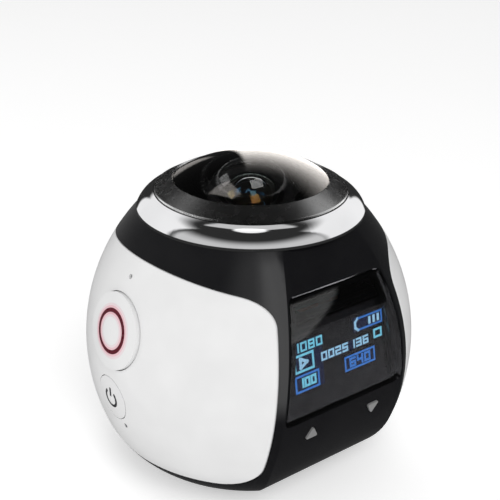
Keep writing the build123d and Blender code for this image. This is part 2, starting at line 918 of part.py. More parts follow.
with BuildPart() as lens_mount:
    with BuildSketch(Plane.XY.offset(sensor_board_top)):
        RectangleRounded(mount_size, mount_size, board_corner / 2)
    extrude(amount=mount_flange)
    with BuildSketch(Plane.XY.offset(sensor_board_top)):
        Circle(mount_tube_radius)
    extrude(amount=mount_height)
    with BuildSketch(Plane.XY.offset(sensor_board_top)):
        Circle(barrel_tube_radius + run_gap)
    extrude(amount=mount_height, mode=Mode.SUBTRACT)

with BuildPart() as sensor_flex:
    with BuildSketch(Plane.XZ):
        with BuildLine() as route:
            FilletPolyline(
                (standoff_spacing / 4, sensor_board_height - flex_thickness / 2),
                (sensor_board_size / 2 + flex_bend, sensor_board_height - flex_thickness / 2),
                (sensor_board_size / 2 + flex_bend, board_top + flex_thickness / 2),
                (board_width / 2 - flex_landing, board_top + flex_thickness / 2),
                radius=1.0,
            )
        trace(line_width=flex_thickness)
    extrude(amount=flex_width / 2, both=True)


# Lens


def sphere_height(radius, crown, at):
    """Height of a dome of the given radius and crown height, at a distance from the axis."""
    return crown - radius + sqrt(radius**2 - at**2)


lens_dome_radius = (lens_radius**2 + lens_crown**2) / (2 * lens_crown)
lens_hollow_top = lens_top - lens_centre_thickness
lens_hollow_depth = lens_hollow_top - lens_seat_height
lens_hollow_edge = sqrt(lens_hollow_radius**2 - (lens_hollow_radius - lens_hollow_depth) ** 2)
with BuildPart() as front_lens:
    with BuildSketch(Plane.XZ):
        with BuildLine():
            Polyline(
                (lens_hollow_edge, lens_seat_height),
                (lens_radius, lens_seat_height),
                (lens_radius, lens_rim_height),
            )
            ThreePointArc(
                (lens_radius, lens_rim_height),
                (lens_radius / 2, sphere_height(lens_dome_radius, lens_top, lens_radius / 2)),
                (0, lens_top),
            )
            Line((0, lens_top), (0, lens_hollow_top))
            ThreePointArc(
                (0, lens_hollow_top),
                (
                    lens_hollow_edge / 2,
                    sphere_height(lens_hollow_radius, lens_hollow_top, lens_hollow_edge / 2),
                ),
                (lens_hollow_edge, lens_seat_height),
            )
        make_face()
    revolve(axis=Axis.Z)

second_seat = centre_height + second_seat_rise
second_rim = second_seat + second_edge
second_top = second_rim + second_crown_radius - sqrt(second_crown_radius**2 - second_radius**2)
second_hollow_top = second_top - second_centre_thickness
second_hollow_depth = second_hollow_top - second_seat
second_hollow_edge = sqrt(second_hollow_radius**2 - (second_hollow_radius - second_hollow_depth) ** 2)
with BuildPart() as second_lens:
    with BuildSketch(Plane.XZ):
        with BuildLine():
            Polyline(
                (second_hollow_edge, second_seat),
                (second_radius, second_seat),
                (second_radius, second_rim),
            )
            ThreePointArc(
                (second_radius, second_rim),
                (second_radius / 2, sphere_height(second_crown_radius, second_top, second_radius / 2)),
                (0, second_top),
            )
            Line((0, second_top), (0, second_hollow_top))
            ThreePointArc(
                (0, second_hollow_top),
                (
                    second_hollow_edge / 2,
                    sphere_height(second_hollow_radius, second_hollow_top, second_hollow_edge / 2),
                ),
                (second_hollow_edge, second_seat),
            )
        make_face()
    revolve(axis=Axis.Z)

barrel_bottom = centre_height + barrel_bottom_rise
barrel_lip_top = barrel_bottom + barrel_lip_height
rear_lens_radius = barrel_bore_radius - lens_gap
rear_lens_top = barrel_lip_top + rear_lens_length + rear_lens_bulge
rear_dome_radius = (rear_lens_radius**2 + rear_lens_bulge**2) / (2 * rear_lens_bulge)
with BuildPart() as rear_lens_group:
    with BuildSketch(Plane.XZ):
        with BuildLine():
            Polyline(
                (0, barrel_lip_top),
                (rear_lens_radius, barrel_lip_top),
                (rear_lens_radius, barrel_lip_top + rear_lens_length),
            )
            ThreePointArc(
                (rear_lens_radius, barrel_lip_top + rear_lens_length),
                (rear_lens_radius / 2, sphere_height(rear_dome_radius, rear_lens_top, rear_lens_radius / 2)),
                (0, rear_lens_top),
            )
            Line((0, rear_lens_top), (0, barrel_lip_top))
        make_face()
    revolve(axis=Axis.Z)

with BuildPart() as lens_barrel:
    with BuildSketch(Plane.XZ):
        with BuildLine():
            Polyline(
                (barrel_lip_radius, barrel_bottom),
                (barrel_tube_radius, barrel_bottom),
                (barrel_tube_radius, roof_height - barrel_cone_drop),
                (barrel_neck_radius, roof_height - barrel_shoulder_drop),
                (barrel_neck_radius, roof_height),
                (barrel_flange_radius, roof_height),
                (barrel_flange_radius, lens_seat_height),
                (lens_hollow_edge, lens_seat_height),
                (second_radius + lens_gap, second_rim),
                (second_radius + lens_gap, second_seat),
                (barrel_bore_radius, second_seat),
                (barrel_bore_radius, barrel_lip_top),
                (barrel_lip_radius, barrel_lip_top),
                close=True,
            )
        make_face()
    revolve(axis=Axis.Z)
    with BuildSketch(Plane.XY.offset(lens_seat_height)):
        Circle(seal_radius + seal_width / 2 + lens_gap)
        Circle(seal_radius - seal_width / 2 - lens_gap, mode=Mode.SUBTRACT)
    extrude(amount=-seal_depth, mode=Mode.SUBTRACT)

with BuildPart() as lens_seal:
    with BuildSketch(Plane.XY.offset(lens_seat_height)):
        Circle(seal_radius + seal_width / 2)
        Circle(seal_radius - seal_width / 2, mode=Mode.SUBTRACT)
    extrude(amount=-seal_depth)

bezel_bore = lens_radius + lens_gap
with BuildPart() as lens_bezel:
    with BuildSketch(Plane.XZ):
        with BuildLine():
            Polyline(
                (bezel_radius, roof_height),
                (bezel_radius, centre_height + bezel_wall_rise),
                (bezel_lip_radius, centre_height + bezel_lip_rise),
                (bezel_bore, centre_height + bezel_lip_rise - (bezel_lip_radius - bezel_bore)),
                (bezel_bore, lens_seat_height + seat_gap),
                (barrel_flange_radius + seat_gap, lens_seat_height + seat_gap),
                (barrel_flange_radius + seat_gap, roof_height),
                close=True,
            )
        make_face()
    revolve(axis=Axis.Z)
    rim = lens_bezel.edges().filter_by(GeomType.CIRCLE).sort_by(Axis.Z)
    fillet(rim.filter_by(lambda edge: edge.radius > bezel_radius - seat_gap)[-1], radius=0.3)

ring_inner_radius = bezel_radius + fit_gap
with BuildPart() as chrome_ring:
    with BuildSketch(Plane.XZ):
        rim_point = (ring_outer_radius, centre_height + ring_rim_rise)
        top_point = (ring_inner_radius, centre_height + ring_inner_rise)
        chord = Vector(rim_point[0] - top_point[0], rim_point[1] - top_point[1])
        bulge = Vector(-chord.Y, chord.X).normalized() * ring_bulge
        middle_x = (rim_point[0] + top_point[0]) / 2 + bulge.X
        middle_z = (rim_point[1] + top_point[1]) / 2 + bulge.Y
        with BuildLine():
            Polyline(top_point, (ring_inner_radius, roof_height), (ring_outer_radius, roof_height), rim_point)
            ThreePointArc(rim_point, (middle_x, middle_z), top_point)
        make_face()
    revolve(axis=Axis.Z)


# Display


with BuildPart() as display_window:
    add(window_block(0))
    add(outer_ball, mode=Mode.INTERSECT)
    add(window_back, mode=Mode.SUBTRACT)

display_middle = (display_top - display_bottom) / 2
with BuildPart() as display_module:
    with BuildSketch(display_plane):
        with Locations((0, display_middle)):
            Rectangle(display_width, display_height)
    extrude(amount=-display_thickness)

with BuildPart() as display_bracket:
    with BuildSketch(display_plane.offset(bracket_back)):
        with Locations((0, (bracket_high + bracket_low) / 2)):
            Rectangle(display_width + 2 * (bracket_lip + seat_gap), bracket_high - bracket_low)
    extrude(amount=bracket_wall + display_thickness / 2)
    with BuildSketch(display_plane.offset(bracket_back + bracket_wall)):
        with Locations((0, display_middle)):
            Rectangle(display_width + 2 * seat_gap, display_height + 2 * seat_gap)
    extrude(amount=display_thickness, mode=Mode.SUBTRACT)

with BuildPart() as display_flex:
    with BuildSketch(Plane.YZ):
        start = yz_point(display_plane, -display_bottom - fit_gap, -display_thickness / 2)
        with BuildLine():
            FilletPolyline(
                start,
                (-display_reach + 1.4, board_top - flex_dip),
                (-board_front - 1.8, board_top - flex_dip),
                (-board_front - 0.6, board_top + flex_thickness / 2),
                (-board_front + flex_lap, board_top + flex_thickness / 2),
                radius=0.3,
            )
        trace(line_width=flex_thickness)
    extrude(amount=flex_width / 2, both=True)


# Keys


def key_piece(place, face):
    """Key with its flange behind the wall and its stem towards the switch."""
    with BuildPart() as key:
        with BuildSketch(key_plane.offset(key_flange_top)):
            with Locations((place, 0)):
                add(face)
        extrude(amount=-key_flange_top + key_stand)
        with BuildSketch(key_plane.offset(key_flange_top)):
            with Locations((place, 0)):
                Circle(key_flange_radius)
        extrude(amount=-key_flange_depth)
        with BuildSketch(key_plane.offset(key_flange_top - key_flange_depth)):
            with Locations((place, 0)):
                Circle(key_stem_radius)
        extrude(amount=-key_stem_length)
    return key.part


up_shape = key_piece(-key_spacing / 2, up_face)
down_shape = key_piece(key_spacing / 2, down_face)
with BuildPart() as up_key:
    add(up_shape)
with BuildPart() as down_key:
    add(down_shape)

with BuildPart() as key_board:
    with BuildSketch(key_plane.offset(key_board_back)):
        with Locations((0, (key_board_above - key_board_below) / 2)):
            Rectangle(key_board_width + 2 * rib_thickness, key_board_above + key_board_below)
    extrude(amount=key_board_thickness)

with BuildPart() as key_switches:
    with BuildSketch(key_plane.offset(key_board_face)):
        with GridLocations(key_spacing, 0, 2, 1):
            Rectangle(key_switch_size, key_switch_size)
    extrude(amount=0.75 * key_switch_height)
    with BuildSketch(key_plane.offset(key_board_face)):
        with GridLocations(key_spacing, 0, 2, 1):
            Circle(key_stem_radius)
    extrude(amount=key_switch_height)


# Side buttons


plunger_reach = side_board_reach + side_switch_height + plunger_length


def crown_height(crown_radius, stand, at):
    """Height of a button's dome over its plane, at a distance from the axis."""
    return stand - crown_radius + sqrt(crown_radius**2 - at**2)


def switch_depth(rise):
    """Depth at which a side button's axis meets the end of its switch's plunger."""
    return (round_radius(rise) - plunger_reach) / cos(asin(rise / side_arc_radius))


def flange_depth(radius):
    """Depth of a button's flange, just clear of the hollow inner face of the cover at its rim."""
    hollow = body_radius - cover_wall
    rim = radius + button_flange_lap
    return cover_wall + hollow - sqrt(hollow**2 - rim**2) + fit_gap


def button_form(rise, radius, stand, crown_radius, travel):
    """Domed round button on the left side, with its flange and the nub that meets the switch."""
    slope = asin(abs(rise) / side_arc_radius)
    nub_end = switch_depth(rise) - travel - nub_radius * sin(slope) / cos(slope) - run_gap
    flange_top = flange_depth(radius)
    flange_bottom = flange_top + button_flange_depth
    plane = side_profile_plane(rise)
    with BuildPart() as button:
        with BuildSketch(plane):
            with BuildLine():
                Polyline(
                    (0, stand),
                    (0, -nub_end),
                    (nub_radius, -nub_end),
                    (nub_radius, -flange_bottom),
                    (radius + button_flange_lap, -flange_bottom),
                    (radius + button_flange_lap, -flange_top),
                    (radius, -flange_top),
                    (radius, crown_height(crown_radius, stand, radius)),
                )
                ThreePointArc(
                    (radius, crown_height(crown_radius, stand, radius)),
                    (radius / 2, crown_height(crown_radius, stand, radius / 2)),
                    (0, stand),
                )
            make_face()
        revolve(axis=Axis(plane.origin, plane.y_dir))
    return button.part


ring_floor = crown_height(shutter_crown_radius, shutter_stand, ring_radius) - ring_depth


def ring_form(gap):
    """Light ring let into the shutter button's dome, grown by a gap on both sides."""
    plane = side_profile_plane(shutter_rise)
    inner = ring_radius - ring_width - gap
    outer = ring_radius + gap
    with BuildPart() as ring:
        with BuildSketch(plane):
            with BuildLine():
                Polyline(
                    (inner, crown_height(shutter_crown_radius, shutter_stand, inner)),
                    (inner, ring_floor),
                    (outer, ring_floor),
                    (outer, crown_height(shutter_crown_radius, shutter_stand, outer)),
                )
                ThreePointArc(
                    (outer, crown_height(shutter_crown_radius, shutter_stand, outer)),
                    (
                        (inner + outer) / 2,
                        crown_height(shutter_crown_radius, shutter_stand, (inner + outer) / 2),
                    ),
                    (inner, crown_height(shutter_crown_radius, shutter_stand, inner)),
                )
            make_face()
        revolve(axis=Axis(plane.origin, plane.y_dir))
    return ring.part


shutter_blank = button_form(
    shutter_rise, shutter_radius, shutter_stand, shutter_crown_radius, shutter_travel
)
power_blank = button_form(-power_drop, power_radius, power_stand, power_crown_radius, power_travel)
ring_groove = ring_form(lens_gap)
ring_body = ring_form(0)

with BuildPart() as shutter_button:
    add(shutter_blank)
    add(ring_groove, mode=Mode.SUBTRACT)

with BuildPart() as shutter_ring:
    add(ring_body)

with BuildPart() as power_button:
    add(power_blank)

with BuildPart() as side_board:
    with BuildSketch(Plane.YZ.offset(-wall_reach)):
        with Locations((0, centre_height + (side_board_top_rise - side_board_bottom_drop) / 2)):
            Rectangle(side_board_width, side_board_top_rise + side_board_bottom_drop)
    extrude(amount=-side_board_thickness)

shutter_switch_z = centre_height + shutter_rise - switch_depth(shutter_rise) * shutter_rise / side_arc_radius
power_switch_z = centre_height - power_drop + switch_depth(power_drop) * power_drop / side_arc_radius
with BuildPart() as side_switches:
    with BuildSketch(Plane.YZ.offset(-side_board_reach)):
        with Locations((0, shutter_switch_z), (0, power_switch_z)):
            Rectangle(side_switch_size, side_switch_size)
    extrude(amount=-side_switch_height)
    with BuildSketch(Plane.YZ.offset(-side_board_reach - side_switch_height)):
        with Locations((0, shutter_switch_z), (0, power_switch_z)):
            Circle(plunger_radius)
    extrude(amount=-plunger_length)

with BuildPart() as status_led:
    with BuildSketch(Plane.YZ.offset(-side_board_reach)):
        with Locations((-led_side, centre_height - led_drop)):
            Circle(led_radius)
    extrude(amount=side_board_reach - led_reach)

with BuildPart() as microphone:
    with BuildSketch(side_plane(mic_rise).offset(-cover_wall - ledge_depth - 2 * seat_gap)):
        Circle(mic_radius)
    extrude(amount=-mic_depth)


# Speaker and antenna


with BuildPart() as speaker:
    with BuildSketch(speaker_plane.offset(-shell_wall - speaker_seat)):
        Circle(speaker_radius)
    extrude(amount=-speaker_depth)

with BuildPart() as wifi_antenna:
    with BuildSketch(Plane.YZ.offset(wall_reach)):
        with Locations((0, centre_height + antenna_height / 2)):
            Rectangle(antenna_width, antenna_height)
    extrude(amount=antenna_thickness)


# Port door and the sockets behind it


with BuildPart() as door_plate:
    add(door_block(0))
    add(outer_ball, mode=Mode.INTERSECT)
    add(facet_form(door_thickness), mode=Mode.SUBTRACT)
    split(bisect_by=Plane.XY.offset(hinge_z), keep=Keep.TOP)

with BuildPart() as port_door:
    add(door_plate.part)
    with BuildSketch(Plane.YZ):
        with Locations((hinge_y, hinge_z)):
            Circle(hinge_barrel_radius)
    extrude(amount=door_width / 2, both=True)
    with BuildSketch(Plane.YZ):
        with Locations((hinge_y, hinge_z)):
            Circle(pin_radius + run_gap)
    extrude(amount=door_width / 2, both=True, mode=Mode.SUBTRACT)
    # Finger notch behind the top edge
    with BuildSketch(Plane.XY.offset(door_top)):
        with Locations((0, facet_distance(door_top_rise))):
            Circle(notch_width / 2)
            Rectangle(notch_width, 2 * notch_depth, mode=Mode.INTERSECT)
    extrude(amount=-notch_depth, mode=Mode.SUBTRACT)

with BuildPart() as door_pin:
    with BuildSketch(Plane.YZ):
        with Locations((hinge_y, hinge_z)):
            Circle(pin_radius)
    extrude(amount=door_width / 2 + hinge_gap + pin_end, both=True)


def socket_form(middle_x, low, width, height, length):
    """Metal socket shell, open at its mouth."""
    middle = low + height / 2
    with BuildPart() as socket:
        with BuildSketch(Plane.XZ.offset(-socket_reach)):
            with Locations((middle_x, middle)):
                Rectangle(width, height)
        extrude(amount=length)
        with BuildSketch(Plane.XZ.offset(-socket_reach)):
            with Locations((middle_x, middle)):
                Rectangle(width - 2 * socket_wall, height - 2 * socket_wall)
        extrude(amount=socket_mouth, mode=Mode.SUBTRACT)
    return socket.part


usb_shell = socket_form(usb_x, board_top, usb_width, usb_height, usb_length)
hdmi_shell = socket_form(hdmi_x, board_top, hdmi_width, hdmi_height, hdmi_length)
card_shell = socket_form(0, board_height - card_height, card_width, card_height, card_length)

with BuildPart() as usb_socket:
    add(usb_shell)

with BuildPart() as hdmi_socket:
    add(hdmi_shell)

with BuildPart() as card_socket:
    add(card_shell)


# Output


pieces = {
    "centre_housing": centre_housing,
    "left_cover": left_cover,
    "right_cover": right_cover,
    "base_plate": base_plate,
    "foot_ring": foot_ring,
    "tripod_nut": tripod_nut,
    "base_screws": base_screws,
    "inner_frame": inner_frame,
    "battery": battery,
    "main_board": main_board,
    "board_screws": board_screws,
    "processor_shield": processor_shield,
    "standoffs": standoffs,
    "sensor_board": sensor_board,
    "image_sensor": image_sensor,
    "ir_filter": ir_filter,
    "lens_mount": lens_mount,
    "sensor_flex": sensor_flex,
    "front_lens": front_lens,
    "second_lens": second_lens,
    "rear_lens_group": rear_lens_group,
    "lens_barrel": lens_barrel,
    "lens_seal": lens_seal,
    "lens_bezel": lens_bezel,
    "chrome_ring": chrome_ring,
    "display_window": display_window,
    "display_module": display_module,
    "display_bracket": display_bracket,
    "display_flex": display_flex,
    "up_key": up_key,
    "down_key": down_key,
    "key_board": key_board,
    "key_switches": key_switches,
    "shutter_button": shutter_button,
    "shutter_ring": shutter_ring,
    "power_button": power_button,
    "side_board": side_board,
    "side_switches": side_switches,
    "status_led": status_led,
    "microphone": microphone,
    "speaker": speaker,
    "wifi_antenna": wifi_antenna,
    "port_door": port_door,
    "door_pin": door_pin,
    "usb_socket": usb_socket,
    "hdmi_socket": hdmi_socket,
    "card_socket": card_socket,
}

os.makedirs("parts", exist_ok=True)
for piece_name, piece in pieces.items():
    piece.part.label = piece_name
    export_step(piece.part, f"parts/{piece_name}.step")
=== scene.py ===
import math

import bmesh
import bpy
from mathutils import Matrix, Vector


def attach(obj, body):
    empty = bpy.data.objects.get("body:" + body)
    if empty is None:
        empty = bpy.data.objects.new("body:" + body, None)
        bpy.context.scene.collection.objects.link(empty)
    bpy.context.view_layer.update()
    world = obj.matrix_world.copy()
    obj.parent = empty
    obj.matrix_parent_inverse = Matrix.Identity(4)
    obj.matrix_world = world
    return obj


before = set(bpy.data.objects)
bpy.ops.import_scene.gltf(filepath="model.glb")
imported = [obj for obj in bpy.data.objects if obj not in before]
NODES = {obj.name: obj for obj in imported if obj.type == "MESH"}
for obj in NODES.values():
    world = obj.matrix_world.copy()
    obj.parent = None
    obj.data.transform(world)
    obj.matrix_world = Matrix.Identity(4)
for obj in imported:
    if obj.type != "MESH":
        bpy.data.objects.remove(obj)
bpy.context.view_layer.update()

MM = 0.001

# Heights and places on the camera, in millimetres, with the middle of the ball at CENTRE.
# A rise is a height over that middle, a stand is how far a button's dome stands out.
CENTRE = 23.2
BODY_R = 30.0
SIDE_R = 36.4
DISPLAY_REACH = 24.0
DISPLAY_LEAN = math.radians(10.0)
SHUTTER_RISE = 9.2
SHUTTER_STAND = 0.65
SHUTTER_CROWN = 33.0
POWER_RISE = -3.5
POWER_STAND = 0.1
POWER_CROWN = 25.0


# Camera

def make_camera():
    data = bpy.data.cameras.new("view_camera")
    data.lens = 72.0
    data.sensor_width = 36.0
    data.clip_start = 0.01
    data.clip_end = 20.0
    cam = bpy.data.objects.new("view_camera", data)
    bpy.context.scene.collection.objects.link(cam)
    pan, tilt, roll = math.radians(38.427), math.radians(24.26), math.radians(0.9)
    ahead = Vector((math.sin(pan) * math.cos(tilt), math.cos(pan) * math.cos(tilt), -math.sin(tilt)))
    across = Vector((math.cos(pan), -math.sin(pan), 0.0))
    up = across.cross(ahead)
    right = across * math.cos(roll) + up * math.sin(roll)
    top = up * math.cos(roll) - across * math.sin(roll)
    back = -ahead
    turn = Matrix((
        (right.x, top.x, back.x),
        (right.y, top.y, back.y),
        (right.z, top.z, back.z),
    ))
    cam.matrix_world = Matrix.Translation((-0.1022, -0.1288, 0.1136)) @ turn.to_4x4()
    bpy.context.scene.camera = cam


make_camera()
bpy.context.scene.view_settings.view_transform = "Standard"


# Lights

def direction(azimuth, elevation):
    """Unit vector: azimuth in degrees from +Y towards +X, elevation up from level."""
    a, e = math.radians(azimuth), math.radians(elevation)
    return Vector((math.sin(a) * math.cos(e), math.cos(a) * math.cos(e), math.sin(e)))


def softbox(name, azimuth, elevation, distance, width, height, watts):
    """Area light aimed at the camera, for its shading only: the light domes give the reflections."""
    data = bpy.data.lights.new(name, "AREA")
    data.shape = "RECTANGLE"
    data.size = width
    data.size_y = height
    data.energy = watts
    box = bpy.data.objects.new(name, data)
    bpy.context.scene.collection.objects.link(box)
    aim = direction(azimuth, elevation)
    rotation = aim.to_track_quat("Z", "Y").to_matrix().to_4x4()
    box.matrix_world = Matrix.Translation(Vector((0, 0, CENTRE * MM)) + aim * distance) @ rotation
    box.visible_glossy = False


def calc(nodes, links, operation, *values):
    """Math node; each value is a socket or a number."""
    node = nodes.new("ShaderNodeMath")
    node.operation = operation
    for slot, value in zip(node.inputs, values):
        if isinstance(value, (int, float)):
            slot.default_value = value
        else:
            links.new(value, slot)
    return node.outputs[0]


def ramp_up(nodes, links, value, low, high):
    """Rises smoothly from 0 at low to 1 at high, or falls where low is the larger."""
    node = nodes.new("ShaderNodeMapRange")
    node.interpolation_type = "SMOOTHSTEP"
    links.new(value, node.inputs["Value"])
    if low < high:
        node.inputs["From Min"].default_value = low
        node.inputs["From Max"].default_value = high
    else:
        node.inputs["From Min"].default_value = high
        node.inputs["From Max"].default_value = low
        node.inputs["To Min"].default_value = 1.0
        node.inputs["To Max"].default_value = 0.0
    return node.outputs["Result"]


def glow_patch(nodes, links, around, height, patch):
    """Soft-edged patch of light: brightness, azimuth and elevation edges, softness and slant."""
    strength, (az_low, az_high), (el_low, el_high), (soft_az_low, soft_az_high, soft_el), slant = patch
    middle, half = (az_low + az_high) / 2, (az_high - az_low) / 2
    turned = calc(nodes, links, "SUBTRACT", around, middle)
    turned = calc(nodes, links, "ADD", turned, calc(nodes, links, "MULTIPLY", height, slant))
    wrapped = calc(nodes, links, "WRAP", turned, 180.0, -180.0)
    sides = calc(
        nodes, links, "MULTIPLY",
        ramp_up(nodes, links, wrapped, -half - soft_az_low, -half + soft_az_low),
        ramp_up(nodes, links, wrapped, half + soft_az_high, half - soft_az_high),
    )
    ends = calc(
        nodes, links, "MULTIPLY",
        ramp_up(nodes, links, height, el_low - soft_el, el_low + soft_el),
        ramp_up(nodes, links, height, el_high + soft_el, el_high - soft_el),
    )
    return calc(nodes, links, "MULTIPLY", calc(nodes, links, "MULTIPLY", sides, ends), strength)


def light_dome(name, radius, receivers, patches, colour=(1, 1, 1)):
    """Dome of soft light patches that only shows in the reflections of the given pieces."""
    mesh = bpy.data.meshes.new(name)
    shell = bmesh.new()
    bmesh.ops.create_uvsphere(shell, u_segments=48, v_segments=24, radius=radius)
    shell.to_mesh(mesh)
    shell.free()
    dome = bpy.data.objects.new(name, mesh)
    dome.location = (0, 0, CENTRE * MM)
    bpy.context.scene.collection.objects.link(dome)
    mat = bpy.data.materials.new(name)
    mat.use_nodes = True
    nodes, links = mat.node_tree.nodes, mat.node_tree.links
    nodes.clear()
    place = nodes.new("ShaderNodeSeparateXYZ")
    links.new(nodes.new("ShaderNodeTexCoord").outputs["Object"], place.inputs["Vector"])
    around = calc(nodes, links, "ARCTAN2", place.outputs["X"], place.outputs["Y"])
    around = calc(nodes, links, "MULTIPLY", around, 180 / math.pi)
    height = calc(nodes, links, "DIVIDE", place.outputs["Z"], radius)
    height = calc(nodes, links, "MULTIPLY", calc(nodes, links, "ARCSINE", height), 180 / math.pi)
    total = calc(nodes, links, "ADD", 0.0, 0.0)
    for patch in patches:
        total = calc(nodes, links, "ADD", total, glow_patch(nodes, links, around, height, patch))
    light = nodes.new("ShaderNodeEmission")
    light.inputs["Color"].default_value = (*colour, 1)
    links.new(total, light.inputs["Strength"])
    clear = nodes.new("ShaderNodeBsdfTransparent")
    both = nodes.new("ShaderNodeAddShader")
    links.new(light.outputs[0], both.inputs[0])
    links.new(clear.outputs[0], both.inputs[1])
    out = nodes.new("ShaderNodeOutputMaterial")
    links.new(both.outputs[0], out.inputs["Surface"])
    mat.cycles.emission_sampling = "NONE"
    mesh.materials.append(mat)
    dome.visible_camera = False
    dome.visible_diffuse = False
    dome.visible_shadow = False
    dome.visible_transmission = False
    group = bpy.data.collections.new(name + "_receivers")
    for piece in receivers:
        group.objects.link(piece)
    dome.light_linking.receiver_collection = group


# Patches: brightness, azimuths, elevations, softness of the two sides and of the ends, slant
SHELL_PATCHES = [
    (0.04, (-180, 180), (-90, 95), (1, 1, 2), 0.0),
    (1.30, (184, 206), (-28, 58), (3, 10, 8), 0.0),
    (0.40, (200, 232), (5, 62), (8, 16, 10), 0.0),
    (0.10, (150, 400), (-15, 70), (10, 10, 12), 0.0),
]
RING_PATCHES = [
    (1.10, (-180, 180), (81, 95), (1, 1, 2), 0.0),
    (0.60, (-25, 105), (66, 85), (4, 4, 2), 0.0),
    (0.95, (-56, 6), (-12, 54), (4, 2, 8), 0.0),
    (0.95, (66, 138), (-12, 54), (2, 4, 8), 0.0),
    (0.95, (6, 66), (20, 54), (2, 2, 3), 0.0),
    (0.62, (140, 298), (12, 42), (5, 5, 12), 0.0),
]
BEZEL_PATCHES = [
    (9.0, (-85, -12), (-25, 50), (8, 6, 10), 0.0),
    (9.0, (82, 138), (-22, 50), (6, 8, 10), 0.0),
]
WINDOW_PATCHES = [
    (1.0, (145, 149), (-2, 15), (0.3, 1, 1), 0.27),
]
LENS_PATCHES = [
    (3.2, (35, 110), (-30, 34), (1.2, 6, 18), 0.0),
    (0.7, (8, 28), (-2, 10), (4, 1.5, 3), 0.0),
    (2.2, (-12, 15), (57, 75), (1.5, 1.5, 1.5), 0.0),
]


def make_lights():
    softbox("key_light", 200, 45, 0.60, 0.30, 0.30, 1.2)
    softbox("edge_light", 300, 20, 0.60, 0.30, 0.30, 0.7)
    lenses = ["front_lens", "second_lens", "rear_lens_group"]
    apart = ["chrome_ring", "lens_bezel", "display_window", *lenses]
    shell_pieces = [piece for name, piece in NODES.items() if name not in apart]
    light_dome("shell_dome", 0.90, shell_pieces, SHELL_PATCHES)
    light_dome("ring_dome", 0.92, [NODES["chrome_ring"]], RING_PATCHES)
    light_dome("bezel_dome", 0.94, [NODES["lens_bezel"]], BEZEL_PATCHES)
    light_dome("window_dome", 0.96, [NODES["display_window"]], WINDOW_PATCHES)
    light_dome("lens_dome", 0.98, [NODES[name] for name in lenses], LENS_PATCHES, (1.0, 0.95, 0.90))


def make_world():
    """Even white room for shading, and a dim one for reflections."""
    world = bpy.data.worlds.new("studio")
    bpy.context.scene.world = world
    world.use_nodes = True
    nodes, links = world.node_tree.nodes, world.node_tree.links
    background = nodes["Background"]
    background.inputs["Color"].default_value = (1, 1, 1, 1)
    place = nodes.new("ShaderNodeSeparateXYZ")
    links.new(nodes.new("ShaderNodeTexCoord").outputs["Generated"], place.inputs["Vector"])
    sky = nodes.new("ShaderNodeMapRange")
    sky.inputs["From Min"].default_value = -0.4
    sky.inputs["From Max"].default_value = 0.9
    sky.inputs["To Min"].default_value = 1.0
    sky.inputs["To Max"].default_value = 0.42
    links.new(place.outputs["Z"], sky.inputs["Value"])
    path = nodes.new("ShaderNodeLightPath")
    choice = nodes.new("ShaderNodeMix")
    indirect = calc(
        nodes, links, "MAXIMUM",
        path.outputs["Is Glossy Ray"], path.outputs["Is Transmission Ray"],
    )
    links.new(indirect, choice.inputs["Factor"])
    links.new(sky.outputs["Result"], choice.inputs["A"])
    choice.inputs["B"].default_value = 0.03
    links.new(choice.outputs["Result"], background.inputs["Strength"])


make_lights()
make_world()


# Materials

def new_material(name):
    mat = bpy.data.materials.new(name)
    mat.use_nodes = True
    return mat, mat.node_tree.nodes, mat.node_tree.links, mat.node_tree.nodes["Principled BSDF"]


def object_coords(nodes, links, scale=1.0):
    coords = nodes.new("ShaderNodeTexCoord")
    mapping = nodes.new("ShaderNodeMapping")
    mapping.inputs["Scale"].default_value = (scale, scale, scale)
    links.new(coords.outputs["Object"], mapping.inputs["Vector"])
    return mapping.outputs["Vector"]


def noise(nodes, links, vector, scale, detail=2.0):
    tex = nodes.new("ShaderNodeTexNoise")
    tex.inputs["Scale"].default_value = scale
    tex.inputs["Detail"].default_value = detail
    links.new(vector, tex.inputs["Vector"])
    return tex.outputs["Fac"]


def spread(nodes, links, factor, low, high):
    """Maps a texture's factor from 0.3 to 0.7 on to a range of values."""
    ranged = nodes.new("ShaderNodeMapRange")
    ranged.inputs["From Min"].default_value = 0.3
    ranged.inputs["From Max"].default_value = 0.7
    ranged.inputs["To Min"].default_value = low
    ranged.inputs["To Max"].default_value = high
    links.new(factor, ranged.inputs["Value"])
    return ranged.outputs["Result"]


def tone(nodes, links, factor, dark, light):
    ramp = nodes.new("ShaderNodeValToRGB")
    ramp.color_ramp.elements[0].position = 0.3
    ramp.color_ramp.elements[0].color = (*dark, 1)
    ramp.color_ramp.elements[1].position = 0.7
    ramp.color_ramp.elements[1].color = (*light, 1)
    links.new(factor, ramp.inputs["Fac"])
    return ramp.outputs["Color"]


def moulded(name, dark, light, rough, grain, bump):
    """Plastic or paint: slight colour variation, cloudy roughness and a fine moulded surface."""
    mat, nodes, links, shader = new_material(name)
    vector = object_coords(nodes, links)
    mottle = noise(nodes, links, vector, grain * 0.15)
    links.new(tone(nodes, links, mottle, dark, light), shader.inputs["Base Color"])
    links.new(spread(nodes, links, noise(nodes, links, vector, grain * 0.4, 4.0), rough[0], rough[1]),
              shader.inputs["Roughness"])
    if bump:
        relief = nodes.new("ShaderNodeBump")
        relief.inputs["Strength"].default_value = bump
        relief.inputs["Distance"].default_value = 0.00002
        links.new(noise(nodes, links, vector, grain, 3.0), relief.inputs["Height"])
        links.new(relief.outputs["Normal"], shader.inputs["Normal"])
    return mat


